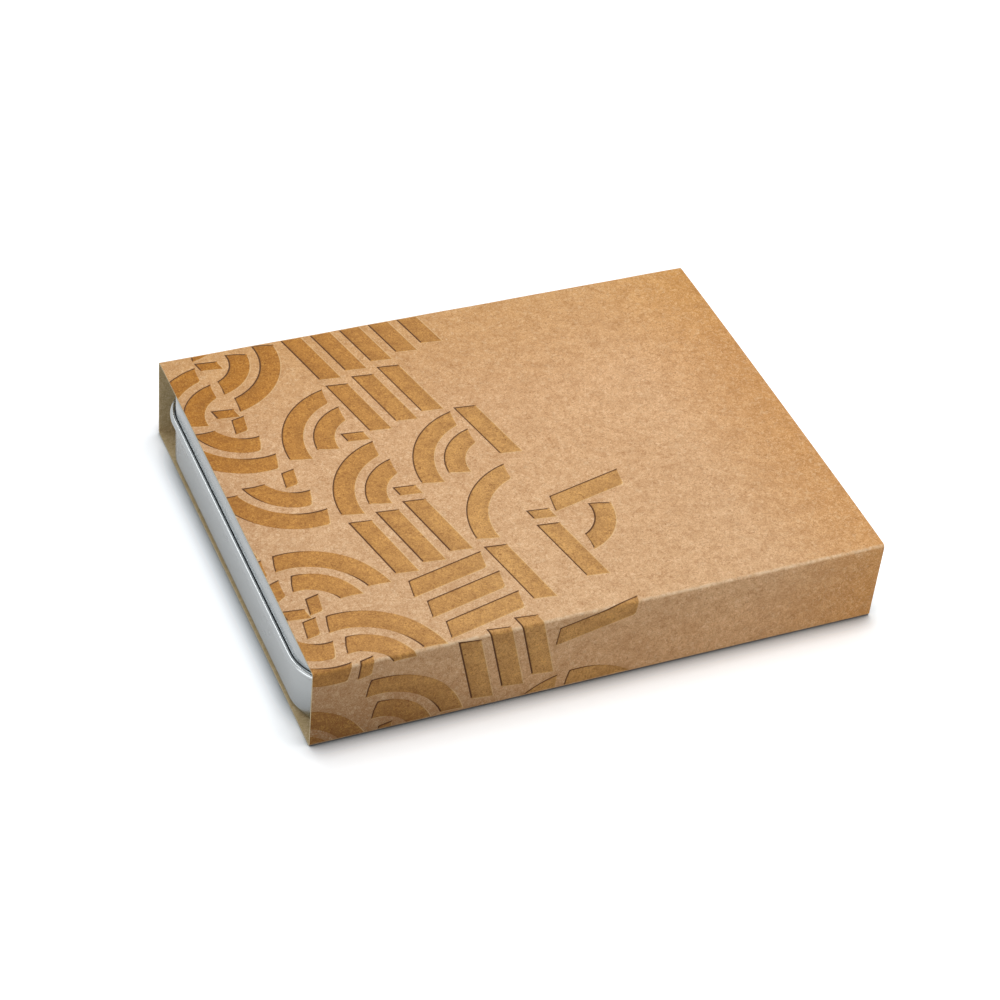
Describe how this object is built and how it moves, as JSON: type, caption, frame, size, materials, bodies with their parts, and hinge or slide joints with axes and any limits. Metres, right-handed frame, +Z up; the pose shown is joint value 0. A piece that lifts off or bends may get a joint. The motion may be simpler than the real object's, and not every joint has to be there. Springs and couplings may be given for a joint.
{
  "type": "calligraphy set box",
  "caption": "Flat hinged tin in an open-ended kraft card sleeve, holding a foam insert with a broad-edged pen, spare nib units and ink cartridges.",
  "frame": {"origin": "centre of the sleeve's underside, on the surface that it lies on", "axes": "+X along the sleeve's open length, out of its right end; +Y towards the back, where the tin is hinged; +Z up"},
  "size_m": [0.1726, 0.1366, 0.0276],
  "materials": {
    "kraft_card": "matte",
    "tinplate": "satin",
    "steel_wire": "satin",
    "black_foam": "matte",
    "white_paper": "matte",
    "black_plastic": "gloss",
    "matt_plastic": "matte",
    "bright_steel": "polished",
    "ink_plastic": "gloss"
  },
  "bodies": {
    "sleeve": {"card_sleeve": "kraft_card"},
    "tin": {"tin_base": "tinplate", "hinge_pin_left": "steel_wire", "hinge_pin_right": "steel_wire", "foam_insert": "black_foam", "leaflet": "white_paper", "pen_barrel": "black_plastic", "pen_cap": "black_plastic", "cap_finial": "bright_steel", "pocket_clip": "bright_steel", "pen_section": "black_plastic", "pen_feed": "matt_plastic", "pen_nib": "bright_steel", "pen_cartridge": "ink_plastic", "spare_1_section": "black_plastic", "spare_1_feed": "matt_plastic", "spare_1_nib": "bright_steel", "spare_2_section": "black_plastic", "spare_2_feed": "matt_plastic", "spare_2_nib": "bright_steel", "spare_3_section": "black_plastic", "spare_3_feed": "matt_plastic", "spare_3_nib": "bright_steel", "ink_cartridge_1": "ink_plastic", "ink_cartridge_2": "ink_plastic", "ink_cartridge_3": "ink_plastic"},
    "lid": {"tin_lid": "tinplate", "lid_pad": "black_foam"}
  },
  "joints": [
    {"name": "tin_slide", "type": "slide", "parent": "sleeve", "child": "tin", "axis": [1, 0, 0], "range_m": [-0.175, 0.175]},
    {"name": "lid_hinge", "type": "hinge", "parent": "tin", "child": "lid", "pos_m": [0, 0.0659, 0.0178], "axis": [-1, 0, 0], "range_deg": [0, 0.3]}
  ]
}
